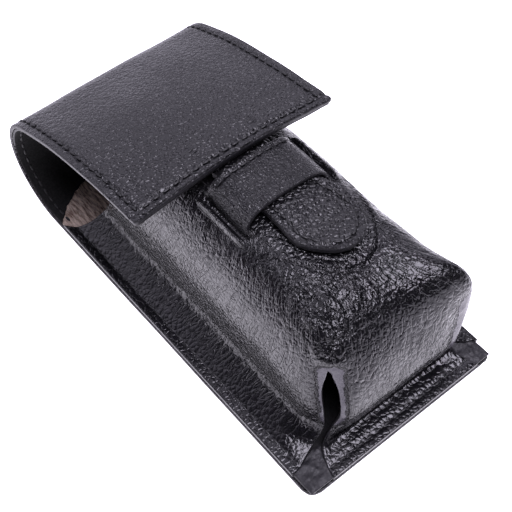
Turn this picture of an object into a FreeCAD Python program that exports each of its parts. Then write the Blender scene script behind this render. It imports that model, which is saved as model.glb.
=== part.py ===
"""Leather flap-top carrying case: a moulded pocket sewn to a flat back, whose top folds over as a flap.

The case lies on its back. +Z is up, +X is across the width, -Y is the closed bottom end and +Y the fold.
While it is drawn, Y is counted from the bottom edge; every sub-part's Placement then centres the length.
"""
import FreeCAD, Part
import math
import os
import Sketcher

Vector = FreeCAD.Vector
X_AXIS = Vector(1, 0, 0)
Z_AXIS = Vector(0, 0, 1)

SIZES = {
    # the back panel and the leather
    "half_width": 29.0,
    "length_all": 121.2,
    "flat_length": 103.7,
    "corner_round": 3.0,
    "hide": 1.2,
    "lining": 0.8,
    # the fold: a quarter turn up, then a tighter turn over, then the long bow of the flap
    "low_radius": 17.5,
    "high_radius": 16.0,
    "low_cut": -45.0,
    "low_sweep": 45.0,
    "high_cut": 34.5,
    "high_end": 69.0,
    "bow_radius": 180.0,
    "bow_sweep": 16.5,
    # the pocket's bump: foot, shoulder, crown and mouth
    "foot_start": 7.8,
    "foot_half": 24.5,
    "wall_top": 31.0,
    "wall_lean": 8.6,
    "shoulder_start": 14.0,
    "crown": 37.5,
    "mouth_top": 80.0,
    "mouth_base": 99.0,
    "side_top": 29.0,
    "side_top_half": 22.3,
    "shoulder_half": 18.5,
    "shoulder_height": 34.6,
    "crown_half": 11.0,
    "run_out": 110.0,
    # slits and gaps cut in the pocket
    "corner_gap": 1.8,
    "corner_gap_length": 7.0,
    "corner_gap_top": 27.0,
    "corner_gap_inset": 3.4,
    "slit_width": 2.2,
    "slit_play": 0.5,
    # the keeper strap
    "keeper_x": 2.2,
    "keeper_start": 44.8,
    "keeper_width": 14.6,
    "keeper_half": 13.1,
    "keeper_thick": 1.1,
    "keeper_crest": 43.4,
    "keeper_flat": 8.5,
    "keeper_knee": 40.6,
    "keeper_tail": 15.6,
    "keeper_foot": 31.5,
    # the closing tab
    "tab_root_x": 1.2,
    "tab_root_y": 63.0,
    "tab_skew": 8.0,
    "tab_under": 39.2,
    "tab_lining": 0.9,
    "tab_hide": 1.1,
    "tab_root_half": 7.7,
    "tab_waist_at": 19.5,
    "tab_wide_half": 9.2,
    "tab_wide_at": 29.0,
    "tab_shoulder_half": 6.6,
    "tab_shoulder_at": 34.2,
    "tab_length": 37.2,
    # thread
    "thread": 0.6,
    "stitch": 2.0,
    "stitch_rise": 0.3,
    "pitch": 2.8,
    "edge_inset": 2.3,
    "side_rows": 33.0,
    "end_rows": 18.0,
    "keeper_row_gap": 1.7,
    "hem_inset": 1.4,
    "tab_inset": 1.6,
    "tab_row_start": 1.5,
    "tack_from_edge": 7.5,
    "tack_pitches": 2.2,
}

# where the back-tacks' four short rows are, across the flap
TACK_PLACES = (-6.9, -5.7, 8.0, 9.2)

doc = FreeCAD.newDocument("FlapTopCase")
sheet = doc.addObject("Spreadsheet::Sheet", "Sizes")
for row, (alias, number) in enumerate(SIZES.items(), start=1):
    sheet.set(f"A{row}", str(number))
    sheet.setAlias(f"A{row}", alias)
doc.recompute()

sub_parts = []


def finish_part(part, node):
    """Name a sub-part after its node and centre the case's length on the origin."""
    part.Label = node
    part.setExpression("Placement.Base.y", "-Sizes.length_all / 2")
    sub_parts.append(part)
    return part


def new_body(node):
    return finish_part(doc.addObject("PartDesign::Body", node + "_body"), node)


def origin_feature(body, role):
    for feature in body.Origin.OriginFeatures:
        if feature.Role == role:
            return feature
    raise ValueError(role)


def pin_point(sketch, line, end, name, place):
    """Fix one end of a line by two named sizes, given as (value, expression) for X and for Y."""
    for axis, on_axis, (value, expression) in (("X", -2, place[0]), ("Y", -1, place[1])):
        if value == 0:
            sketch.addConstraint(Sketcher.Constraint("PointOnObject", line, end, on_axis))
            continue
        pinned = sketch.addConstraint(Sketcher.Constraint("Distance" + axis, -1, 1, line, end, value))
        sketch.renameConstraint(pinned, name + axis)
        sketch.setExpression(f"Constraints.{name}{axis}", expression)


def size(alias, sign=1, plus=None, times=1):
    """A coordinate as (value, expression): sign * alias, with an optional second alias added times over."""
    value = sign * SIZES[alias]
    expression = ("-" if sign < 0 else "") + f"Sizes.{alias}"
    if plus:
        value += times * SIZES[plus]
        expression += f" + ({times}) * Sizes.{plus}"
    return value, expression


NOWHERE = (0, "0")


def outline(sketch, places):
    """Draw a closed outline of straight lines whose corners are all bound to the sheet."""
    corners = [Vector(across[0], along[0], 0) for across, along in places]
    count = len(corners)
    for i in range(count):
        sketch.addGeometry(Part.LineSegment(corners[i], corners[(i + 1) % count]))
    for i in range(count):
        sketch.addConstraint(Sketcher.Constraint("Coincident", i, 2, (i + 1) % count, 1))
    for i, place in enumerate(places):
        pin_point(sketch, i, 1, f"corner{i}", place)


def mirrored_outline(sketch, places):
    """Draw an outline that is the same on both sides of the sketch's vertical axis."""
    def other_side(place):
        (value, expression), along = place
        return (-value, f"-({expression})"), along

    outline(sketch, places + [other_side(place) for place in reversed(places) if place[0][0] != 0])


def rectangle(sketch, half_across, low, high):
    mirrored_outline(sketch, [(half_across, low), (half_across, high)])


def body_sketch(body, role, lift=None, name="sketch"):
    """A sketch on one of the body's own planes, lifted off it by an expression of the sheet."""
    sketch = body.newObject("Sketcher::SketchObject", name)
    sketch.AttachmentSupport = [(origin_feature(body, role), "")]
    sketch.MapMode = "FlatFace"
    if lift:
        sketch.setExpression("AttachmentOffset.Base.z", lift)
    return sketch


def pad(body, sketch, height):
    solid = body.newObject("PartDesign::Pad", "pad")
    solid.Profile = sketch
    solid.setExpression("Length", height)
    sketch.Visibility = False
    return solid


def turned_sketch(body, centre_y, centre_z, angle, name):
    """A sketch through an arc's centre, turned about X so that its Y runs out along the given angle."""
    sketch = body_sketch(body, "XY_Plane", name=name)
    degrees = SIZES[angle] if angle else 0.0
    sketch.AttachmentOffset = FreeCAD.Placement(Vector(), FreeCAD.Rotation(X_AXIS, degrees))
    sketch.setExpression("AttachmentOffset.Base.y", centre_y)
    sketch.setExpression("AttachmentOffset.Base.z", centre_z)
    return sketch


LOW_CENTRE = ("Sizes.flat_length", "Sizes.low_radius")
HIGH_CENTRE = ("Sizes.length_all - Sizes.high_radius", "Sizes.low_radius")
BOW_CENTRE = (
    "Sizes.length_all - Sizes.high_radius - (Sizes.bow_radius - Sizes.high_radius) * cos(Sizes.high_end * 1 deg)",
    "Sizes.low_radius - (Sizes.bow_radius - Sizes.high_radius) * sin(Sizes.high_end * 1 deg)",
)


def bend(body, centre, start, radius, layer, sweep, backwards=False, name="bend"):
    """Bend a strip of one layer round an arc's centre, from the start angle, over the sweep.

    Layer 0 is the hide, whose outside face is the arc itself; layer 1 is the lining against its inside.
    """
    sketch = turned_sketch(body, *centre, start, name + "_section")
    half = size("half_width")
    if layer == 0:
        rectangle(sketch, half, size(radius, plus="hide", times=-1), size(radius))
    else:
        hide, lining = SIZES["hide"], SIZES["lining"]
        inner = (SIZES[radius] - hide - lining, f"Sizes.{radius} - Sizes.hide - Sizes.lining")
        rectangle(sketch, half, inner, size(radius, plus="hide", times=-1))
    solid = body.newObject("PartDesign::Revolution", name)
    solid.Profile = sketch
    solid.ReferenceAxis = (sketch, ["H_Axis"])
    solid.setExpression("Angle", sweep)
    solid.Reversed = backwards
    return solid


def bottom_corner_edges(shape):
    """The numbers of the two upright edges at the bottom corners of a panel."""
    touch = 0.01
    numbers = []
    for number, edge in enumerate(shape.Edges, start=1):
        box = edge.BoundBox
        upright = box.ZLength > touch and box.XLength < touch and box.YLength < touch
        if upright and box.YMax < touch:
            numbers.append(number)
    return numbers


def round_bottom_corners(body, solid):
    """Round the two upright edges at the bottom corners of a panel."""
    doc.recompute()
    rounding = body.newObject("PartDesign::Fillet", "corner_rounding")
    rounding.Base = (solid, [f"Edge{number}" for number in bottom_corner_edges(solid.Shape)])
    rounding.setExpression("Radius", "Sizes.corner_round")
    return rounding


def back_panel(node, layer):
    """The flat back with the first half of the fold's lower turn."""
    body = new_body(node)
    sketch = body_sketch(body, "XY_Plane", "Sizes.hide" if layer else None, "plan")
    rectangle(sketch, size("half_width"), NOWHERE, size("flat_length"))
    flat = pad(body, sketch, "Sizes.lining" if layer else "Sizes.hide")
    round_bottom_corners(body, flat)
    bend(body, LOW_CENTRE, "low_cut", "low_radius", layer, "Sizes.low_cut + 90", backwards=True, name="turn_up")
    return body


def spine_panel(node, layer):
    """The stretch round the back of the fold, between the middles of its two turns."""
    body = new_body(node)
    bend(body, LOW_CENTRE, None, "low_radius", layer, "Sizes.low_sweep", backwards=True, name="lower_half")
    bend(body, HIGH_CENTRE, None, "high_radius", layer, "Sizes.high_cut", name="upper_half")
    return body


def flap_panel(node, layer):
    """The rest of the upper turn and the flap, which is a long shallow bow."""
    body = new_body(node)
    rest = "Sizes.high_end - Sizes.high_cut"
    bend(body, HIGH_CENTRE, "high_end", "high_radius", layer, rest, backwards=True, name="turn_over")
    bend(body, BOW_CENTRE, "high_end", "bow_radius", layer, "Sizes.bow_sweep", name="bow")
    return body


def loose_sketch(name, upright):
    """A free sketch in the XZ plane (upright "front") or in the YZ plane (upright "side")."""
    sketch = doc.addObject("Sketcher::SketchObject", name)
    stand_up = FreeCAD.Rotation(X_AXIS, 90)
    if upright == "side":
        stand_up = FreeCAD.Rotation(Z_AXIS, 90).multiply(stand_up)
    sketch.Placement = FreeCAD.Placement(Vector(), stand_up)
    return sketch


def extrude(name, sketch, length, both_ways=True):
    solid = doc.addObject("Part::Extrusion", name)
    solid.Base = sketch
    solid.DirMode = "Normal"
    solid.Solid = True
    solid.Symmetric = both_ways
    solid.setExpression("LengthFwd", length)
    return solid


def combine(kind, name, *shapes):
    """A boolean: Part::Common, Part::Cut (base then tool), or Part::MultiFuse."""
    result = doc.addObject(kind, name)
    if kind == "Part::MultiFuse":
        result.Shapes = list(shapes)
    else:
        result.Base, result.Tool = shapes
    return result


def bump(name, inset):
    """The moulded bump as a solid: its side outline and its cross-section, each set in by the leather."""
    def into(alias, sign):
        value = SIZES[alias] + sign * inset
        return value, f"Sizes.{alias} + ({sign * inset / SIZES['hide']}) * Sizes.hide"

    ground = size("hide", plus="lining") if not inset else size("hide")
    side = loose_sketch(name + "_side", "side")
    outline(side, [
        (into("foot_start", 1), ground),
        (into("wall_lean", 1), into("wall_top", -1)),
        (into("shoulder_start", 1), into("crown", -1)),
        (size("run_out"), into("crown", -1)),
        (size("run_out"), ground),
    ])
    section = loose_sketch(name + "_section", "front")
    mirrored_outline(section, [
        (into("foot_half", -1), ground),
        (into("side_top_half", -1), into("side_top", -1)),
        (into("shoulder_half", -1), into("shoulder_height", -1)),
        (into("crown_half", -1), into("crown", -1)),
    ])
    across = extrude(name + "_across", side, "2 * Sizes.half_width")
    along = extrude(name + "_along", section, "4 * Sizes.run_out")
    return combine("Part::Common", name, across, along)


def block(name, length, width, height):
    """A box whose three sides are expressions of the sheet."""
    box = doc.addObject("Part::Box", name)
    box.setExpression("Length", length)
    box.setExpression("Width", width)
    box.setExpression("Height", height)
    return box


def corner_gap(name, side):
    """The open corner of the pocket: a narrow upright cut on the diagonal, through wall and flange."""
    gap = block(name, "Sizes.corner_gap_length", "Sizes.corner_gap", "Sizes.corner_gap_top")
    turn = -45 if side > 0 else -135
    gap.Placement = FreeCAD.Placement(Vector(), FreeCAD.Rotation(Z_AXIS, turn))
    gap.setExpression("Placement.Base.x", f"{side} * (Sizes.foot_half - Sizes.corner_gap_inset)")
    gap.setExpression("Placement.Base.y", "Sizes.foot_start + Sizes.corner_gap_inset")
    gap.setExpression("Placement.Base.z", "Sizes.hide + Sizes.lining / 2")
    return gap


def keeper_slit(name, side):
    slit = block(name, "Sizes.slit_width", "Sizes.keeper_width + 2 * Sizes.slit_play", "Sizes.keeper_half")
    middle = f"Sizes.keeper_x + {side} * (Sizes.keeper_half - Sizes.keeper_thick / 2)"
    slit.setExpression("Placement.Base.x", middle + " - Sizes.slit_width / 2")
    slit.setExpression("Placement.Base.y", "Sizes.keeper_start - Sizes.slit_play")
    slit.setExpression("Placement.Base.z", "Sizes.keeper_foot - Sizes.hide")
    return slit


def mouth_cutter():
    """Everything past the slanting mouth, from its base on the back up to its edge under the flap."""
    sketch = loose_sketch("mouth_side", "side")
    above = (SIZES["crown"] + SIZES["hide"], "Sizes.crown + Sizes.hide")
    outline(sketch, [
        (size("mouth_base"), NOWHERE),
        (size("mouth_top"), above),
        (size("run_out", plus="hide"), above),
        (size("run_out", plus="hide"), NOWHERE),
    ])
    return extrude("past_the_mouth", sketch, "4 * Sizes.half_width")


def front_pocket():
    """One moulded leather piece: the hollow bump and the flange that is sewn to the back."""
    outer = bump("bump_outside", 0)
    inner = bump("bump_inside", SIZES["hide"])
    plate = block("flange_plate", "2 * Sizes.half_width", "Sizes.run_out", "Sizes.hide")
    plate.setExpression("Placement.Base.x", "-Sizes.half_width")
    plate.setExpression("Placement.Base.z", "Sizes.hide + Sizes.lining")
    flange = doc.addObject("Part::Fillet", "flange_rounded")
    flange.Base = plate
    doc.recompute()
    radius = SIZES["corner_round"]
    flange.Edges = [(number, radius, radius) for number in bottom_corner_edges(plate.Shape)]
    blank = combine("Part::MultiFuse", "pocket_blank", outer, flange)
    shell = combine("Part::Cut", "pocket_hollowed", blank, inner)
    gaps = [corner_gap("left_corner_gap", -1), corner_gap("right_corner_gap", 1)]
    slits = [keeper_slit("left_keeper_slit", -1), keeper_slit("right_keeper_slit", 1)]
    openings = combine("Part::MultiFuse", "pocket_openings", mouth_cutter(), *gaps, *slits)
    return finish_part(combine("Part::Cut", "pocket_cut", shell, openings), "pocket")


def keeper_strap():
    """The strap across the front: an arch over the tab, with both ends turned out under the crown."""
    sketch = loose_sketch("keeper_profile", "front")
    thick = "keeper_thick"
    inner_half = size("keeper_half", plus=thick, times=-1)
    crest_inside = size("keeper_crest", plus=thick, times=-1)
    mirrored_outline(sketch, [
        (size("keeper_flat"), size("keeper_crest")),
        (size("keeper_half"), size("keeper_knee")),
        (size("keeper_half"), size("keeper_foot", plus=thick)),
        (size("keeper_tail"), size("keeper_foot", plus=thick)),
        (size("keeper_tail"), size("keeper_foot")),
        (inner_half, size("keeper_foot")),
        (inner_half, size("keeper_knee", plus=thick, times=-0.5)),
        (size("keeper_flat"), crest_inside),
    ])
    sketch.setExpression("Placement.Base.x", "Sizes.keeper_x")
    sketch.setExpression("Placement.Base.y", "Sizes.keeper_start + Sizes.keeper_width")
    strap = extrude("keeper_strap", sketch, "Sizes.keeper_width", both_ways=False)
    return finish_part(strap, "keeper")


def place_on_tab(part):
    """Put a tab layer or its thread at the tab's root, pointing to the tip, a little skewed."""
    turn = FreeCAD.Rotation(Z_AXIS, SIZES["tab_skew"])
    part.Placement = FreeCAD.Placement(Vector(), turn)
    part.setExpression("Placement.Base.x", "Sizes.tab_root_x")
    part.setExpression("Placement.Base.y", "Sizes.tab_root_y - Sizes.length_all / 2")


def tab_layer(node, lift, thickness):
    """One layer of the tab: a strap that widens to a blunt pointed end."""
    body = new_body(node)
    sketch = body_sketch(body, "XY_Plane", lift, "plan")
    mirrored_outline(sketch, [
        (size("tab_root_half"), NOWHERE),
        (size("tab_root_half"), size("tab_waist_at", -1)),
        (size("tab_wide_half"), size("tab_wide_at", -1)),
        (size("tab_shoulder_half"), size("tab_shoulder_at", -1)),
        (NOWHERE, size("tab_length", -1)),
    ])
    pad(body, sketch, thickness)
    place_on_tab(body)
    return body


def stitch_shape(centre, along, up):
    """One stitch: a short bar lying along its row, with its underside on the leather."""
    side = up.cross(along)
    corner = centre - along * (SIZES["stitch"] / 2) - side * (SIZES["thread"] / 2)
    bar = Part.makeBox(SIZES["stitch"], SIZES["thread"], SIZES["stitch_rise"])
    bar.Placement = FreeCAD.Placement(corner, FreeCAD.Rotation(along, side, up, "XYZ"))
    return bar


def thread_row(node, stitches):
    """All the stitches of one sewn row, as separate solids in one node."""
    row = doc.addObject("Part::Feature", node + "_row")
    row.Shape = Part.makeCompound([stitch_shape(*stitch) for stitch in stitches])
    return finish_part(row, node)


def straight_row(start, along, up, count):
    return [(start + along * (SIZES["pitch"] * i), along, up) for i in range(int(count))]


def arc_row(across, centre, radius, start, sweep):
    """Stitches round an arc seen from the side, at one place across the width."""
    count = int(math.radians(sweep) * radius / SIZES["pitch"])
    stitches = []
    for i in range(count):
        angle = math.radians(start + sweep * (i + 0.5) / count)
        up = Vector(0, math.cos(angle), math.sin(angle))
        along = Vector(0, math.sin(angle), -math.cos(angle))
        stitches.append((Vector(across, *centre) + up * radius, along, up))
    return stitches


def arc_centres():
    """The three arc centres of the fold and flap as (y, z) numbers."""
    end = math.radians(SIZES["high_end"])
    reach = SIZES["bow_radius"] - SIZES["high_radius"]
    low = (SIZES["flat_length"], SIZES["low_radius"])
    high = (SIZES["length_all"] - SIZES["high_radius"], SIZES["low_radius"])
    bow = (high[0] - reach * math.cos(end), high[1] - reach * math.sin(end))
    return low, high, bow


def pocket_threads():
    """The three rows that hold the pocket's flange to the back."""
    top = SIZES["hide"] * 2 + SIZES["lining"]
    inset = SIZES["edge_inset"]
    reach = SIZES["half_width"] - inset
    for node, across in (("pocket_thread_left", -reach), ("pocket_thread_right", reach)):
        start = Vector(across, inset + SIZES["pitch"], top)
        thread_row(node, straight_row(start, Vector(0, 1, 0), Z_AXIS, SIZES["side_rows"]))
    span = SIZES["pitch"] * (SIZES["end_rows"] - 1)
    start = Vector(-span / 2, inset, top)
    thread_row("pocket_thread_bottom", straight_row(start, X_AXIS, Z_AXIS, SIZES["end_rows"]))


def fold_threads():
    """The border rows of the spine and the flap, and the flap's front row."""
    low, high, bow = arc_centres()
    reach = SIZES["half_width"] - SIZES["edge_inset"]
    cut, end = SIZES["high_cut"], SIZES["high_end"]
    front = end + SIZES["bow_sweep"]
    front_gap = math.degrees(SIZES["edge_inset"] / SIZES["bow_radius"])
    for side, across in (("left", -reach), ("right", reach)):
        lower = arc_row(across, low, SIZES["low_radius"], -SIZES["low_sweep"], SIZES["low_sweep"])
        upper = arc_row(across, high, SIZES["high_radius"], 0, cut)
        thread_row(f"spine_thread_{side}", lower + upper)
        over = arc_row(across, high, SIZES["high_radius"], cut, end - cut)
        along = arc_row(across, bow, SIZES["bow_radius"], end, SIZES["bow_sweep"] - 2 * front_gap)
        thread_row(f"flap_thread_{side}", over + along)
    angle = math.radians(front - front_gap)
    up = Vector(0, math.cos(angle), math.sin(angle))
    count = int(2 * reach / SIZES["pitch"])
    start = Vector(-SIZES["pitch"] * (count - 1) / 2, *bow) + up * SIZES["bow_radius"]
    thread_row("flap_thread_front", straight_row(start, X_AXIS, up, count))


def tack_threads():
    """Two short double rows on the flap, one at each side of the tab's root."""
    bow = arc_centres()[2]
    rows = []
    start = SIZES["high_end"] + SIZES["bow_sweep"] - math.degrees(SIZES["tack_from_edge"] / SIZES["bow_radius"])
    sweep = math.degrees(SIZES["tack_pitches"] * SIZES["pitch"] / SIZES["bow_radius"])
    for across in TACK_PLACES:
        rows += arc_row(across, bow, SIZES["bow_radius"], start - sweep, sweep)
    thread_row("tab_tack_thread", rows)


def keeper_threads():
    """A row outside each slit, which holds the keeper's turned ends, and a hem row on its fold side."""
    half, pitch = SIZES["keeper_half"], SIZES["pitch"]
    count = int(SIZES["keeper_width"] / pitch)
    slope = (SIZES["crown"] - SIZES["shoulder_height"]) / (SIZES["shoulder_half"] - SIZES["crown_half"])
    for side, node in ((-1, "keeper_thread_left"), (1, "keeper_thread_right")):
        across = SIZES["keeper_x"] + side * (half + SIZES["keeper_row_gap"])
        height = SIZES["crown"] - slope * (abs(across) - SIZES["crown_half"])
        up = Vector(math.copysign(slope, across), 0, 1).normalize()
        start = Vector(across, SIZES["keeper_start"] + pitch, height)
        thread_row(node, straight_row(start, Vector(0, 1, 0), up, count))
    hem = int(2 * SIZES["keeper_flat"] / pitch)
    across = SIZES["keeper_x"] - pitch * (hem - 1) / 2
    hem_y = SIZES["keeper_start"] + SIZES["keeper_width"] - SIZES["hem_inset"]
    start = Vector(across, hem_y, SIZES["keeper_crest"])
    thread_row("keeper_thread_hem", straight_row(start, X_AXIS, Z_AXIS, hem))


def tab_thread():
    """The tab's border row, down one side, round the blunt end and up the other."""
    inset = SIZES["tab_inset"]
    shoulder_inset = 0.8 * inset
    top = SIZES["tab_under"] + SIZES["tab_lining"] + SIZES["tab_hide"]
    right = [
        Vector(SIZES["tab_root_half"] - inset, -SIZES["tab_row_start"], top),
        Vector(SIZES["tab_root_half"] - inset, -SIZES["tab_waist_at"], top),
        Vector(SIZES["tab_wide_half"] - inset, -SIZES["tab_wide_at"], top),
        Vector(SIZES["tab_shoulder_half"] - shoulder_inset, -SIZES["tab_shoulder_at"] + inset, top),
        Vector(0, -SIZES["tab_length"] + inset, top),
    ]
    left = [Vector(-place.x, place.y, place.z) for place in reversed(right[:-1])]
    route = right + left
    stitches = []
    for here, there in zip(route, route[1:]):
        run = there - here
        count = max(1, int(run.Length / SIZES["pitch"]))
        along = Vector(run).normalize()
        for i in range(count):
            stitches.append((here + run * ((i + 0.5) / count), along, Z_AXIS))
    place_on_tab(thread_row("tab_thread", stitches))


def make_case():
    back_panel("back_outer", 0)
    back_panel("back_lining", 1)
    front_pocket()
    keeper_strap()
    spine_panel("spine_outer", 0)
    spine_panel("spine_lining", 1)
    flap_panel("flap_outer", 0)
    flap_panel("flap_lining", 1)
    tab_layer("tab_lining", "Sizes.tab_under", "Sizes.tab_lining")
    tab_layer("tab_outer", "Sizes.tab_under + Sizes.tab_lining", "Sizes.tab_hide")
    pocket_threads()
    fold_threads()
    tack_threads()
    keeper_threads()
    tab_thread()


def check_document():
    doc.recompute()
    for thing in doc.Objects:
        if "Invalid" in thing.State or "Error" in thing.State:
            raise RuntimeError(f"{thing.Name} is {thing.State}")
    for part in sub_parts:
        if part.Shape.isNull() or not part.Shape.isValid():
            raise RuntimeError(f"{part.Label} has no valid shape")


def write_parts():
    os.makedirs("parts", exist_ok=True)
    for part in sub_parts:
        part.Shape.exportStep(f"parts/{part.Label}.step")
        print(f"{part.Label}: {len(part.Shape.Solids)} solid(s), {part.Shape.Volume:.0f} mm3")


make_case()
check_document()
write_parts()
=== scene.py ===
# %% [markdown]
# # A moulded leather carrying case, closed with a tab
# The case is three things sewn together: one long strip of pebbled hide that is the back, the fold and the
# flap; a pocket of the same hide, wetted and pressed over a block until it keeps the block's shape; and a
# tongue of leather on the flap that is pushed under a strap. The imported model gives the sizes and the way
# it opens, so this lesson starts by loading it, and keeps its box, which is printed at the end.

# %% load the frame
import math

import bmesh
import bpy
from mathutils import Matrix, Vector, noise
from mathutils.bvhtree import BVHTree


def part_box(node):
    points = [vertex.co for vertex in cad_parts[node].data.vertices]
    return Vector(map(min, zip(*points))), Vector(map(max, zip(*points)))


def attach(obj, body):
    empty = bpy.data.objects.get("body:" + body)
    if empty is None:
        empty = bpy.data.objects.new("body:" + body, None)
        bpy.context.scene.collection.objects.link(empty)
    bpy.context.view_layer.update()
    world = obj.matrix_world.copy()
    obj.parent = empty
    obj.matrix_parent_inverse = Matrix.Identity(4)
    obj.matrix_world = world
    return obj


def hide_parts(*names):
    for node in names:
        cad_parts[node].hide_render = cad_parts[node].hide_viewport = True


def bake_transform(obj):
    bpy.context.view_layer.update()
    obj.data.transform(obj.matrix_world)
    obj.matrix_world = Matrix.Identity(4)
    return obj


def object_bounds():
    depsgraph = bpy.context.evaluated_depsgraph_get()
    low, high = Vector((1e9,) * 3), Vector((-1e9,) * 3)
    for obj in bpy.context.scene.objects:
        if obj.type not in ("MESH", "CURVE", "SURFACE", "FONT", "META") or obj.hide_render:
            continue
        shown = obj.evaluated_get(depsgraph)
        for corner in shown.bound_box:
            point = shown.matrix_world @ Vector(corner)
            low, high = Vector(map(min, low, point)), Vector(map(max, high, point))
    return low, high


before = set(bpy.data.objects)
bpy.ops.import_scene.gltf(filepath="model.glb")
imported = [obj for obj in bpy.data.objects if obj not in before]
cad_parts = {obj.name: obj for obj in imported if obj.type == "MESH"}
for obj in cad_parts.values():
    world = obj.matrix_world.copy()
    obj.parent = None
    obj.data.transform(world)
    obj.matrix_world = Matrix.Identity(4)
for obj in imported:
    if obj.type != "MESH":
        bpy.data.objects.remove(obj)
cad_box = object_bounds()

for name in sorted(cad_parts):
    low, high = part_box(name)
    print(f"{name:22s}", [round(v * 1000, 1) for v in (*low, *high)])

# %% [markdown]
# ## Units and small helpers
# A leather worker measures from the bottom edge of the back panel, in millimetres: x across, y up the case
# and z up from the table. `place` turns such a point into the frame's metres. The other helpers are used
# again and again: a bell curve for grooves and ridges, a ramp without corners, and a smooth curve through a
# few points, which is how a maker draws a profile on card.

# %% helpers
MM = 0.001
bottom_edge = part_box("back_outer")[0].y
half_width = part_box("back_outer")[1].x / MM


def place(x, y, z):
    """A point measured from the middle of the bottom edge, in millimetres, as metres of the frame."""
    return Vector((x * MM, bottom_edge + y * MM, z * MM))


def bell(distance, width):
    """1 on a line and almost 0 two widths away from it."""
    return math.exp(-((distance / width) ** 2))


def ramp(value, start, end):
    """0 before start, 1 after end, and smooth between."""
    t = min(1.0, max(0.0, (value - start) / (end - start)))
    return t * t * (3 - 2 * t)


def between(a, b, share):
    return a + (b - a) * share


def along(points, k):
    """Place k on the smooth curve through a few points: 0 is the first point, 1 the second, and so on."""
    i = max(0, min(int(k), len(points) - 2))
    t = k - i
    last = len(points) - 1
    p0, p1, p2, p3 = (points[max(0, min(j, last))] for j in (i - 1, i, i + 1, i + 2))
    return tuple(
        0.5 * (2 * b + (c - a) * t + (2 * a - 5 * b + 4 * c - d) * t * t
               + (3 * b - a - 3 * c + d) * t ** 3)
        for a, b, c, d in zip(p0, p1, p2, p3)
    )


def by_place(points, value):
    """The height of a smooth profile at a place along it. Its points are (place, height), in order."""
    if value <= points[0][0]:
        return points[0][1]
    for i, (a, b) in enumerate(zip(points, points[1:])):
        if value <= b[0]:
            return along([(h,) for _, h in points], i + (value - a[0]) / (b[0] - a[0]))[0]
    return points[-1][1]


def lumps(x, y, z, size, seed=0.0):
    """Soft unevenness between about -1 and 1, with lumps of that size in millimetres."""
    return noise.noise(Vector((x / size + seed, y / size - seed, z / size + 2 * seed)))


def to_object(name, bm, materials):
    """Turns a finished bmesh into a piece that sits at the origin."""
    mesh = bpy.data.meshes.new(name)
    bm.to_mesh(mesh)
    bm.free()
    for face in mesh.polygons:
        face.use_smooth = True
    for material in materials:
        mesh.materials.append(material)
    piece = bpy.data.objects.new(name, mesh)
    bpy.context.scene.collection.objects.link(piece)
    print(f"{name}: {len(mesh.polygons)} faces")
    return piece


print("half width of the back panel:", round(half_width, 1), "mm")

# %% [markdown]
# ## Finishes: the shared effects
# Leather is mostly one thing seen at several sizes: pebbles about a millimetre wide, finer grain on each
# pebble, and stretch lines where it was pulled over the block. Each effect is a node group made once, with
# its sizes as inputs, so every piece of hide can use it with its own numbers. The groups give out heights
# and masks only. The shader and its fixed numbers stay in each material.

# %% node helpers
def add(tree, kind, **settings):
    """Adds a node. A setting that names an input sets its value, and any other sets a property."""
    made = tree.nodes.new(kind)
    for key, value in settings.items():
        if hasattr(made, key):
            setattr(made, key, value)
        else:
            made.inputs[key.replace("_", " ")].default_value = value
    return made


def new_group(name, inputs, outputs):
    """An empty node group with float or vector sockets. Inputs are name: default value."""
    tree = bpy.data.node_groups.new(name, "ShaderNodeTree")
    for label, value in inputs.items():
        kind = "NodeSocketVector" if value is None else "NodeSocketFloat"
        socket = tree.interface.new_socket(name=label, in_out="INPUT", socket_type=kind)
        if value is not None:
            socket.default_value = value
    for label in outputs:
        tree.interface.new_socket(name=label, in_out="OUTPUT", socket_type="NodeSocketFloat")
    return tree, tree.nodes.new("NodeGroupInput"), tree.nodes.new("NodeGroupOutput")


def maths(tree, operation, a, b=0.0):
    """A Math node whose inputs are sockets or numbers. Gives its output socket."""
    made = add(tree, "ShaderNodeMath", operation=operation)
    for i, value in enumerate((a, b)):
        if isinstance(value, (int, float)):
            made.inputs[i].default_value = value
        else:
            tree.links.new(value, made.inputs[i])
    return made.outputs[0]


def stepped(tree, value, low, high, to_low=0.0, to_high=1.0):
    """A smooth step of a socket from one range to another."""
    made = add(tree, "ShaderNodeMapRange", interpolation_type="SMOOTHSTEP")
    tree.links.new(value, made.inputs["Value"])
    for label, number in (("From Min", low), ("From Max", high), ("To Min", to_low), ("To Max", to_high)):
        made.inputs[label].default_value = number
    return made.outputs["Result"]


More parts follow.
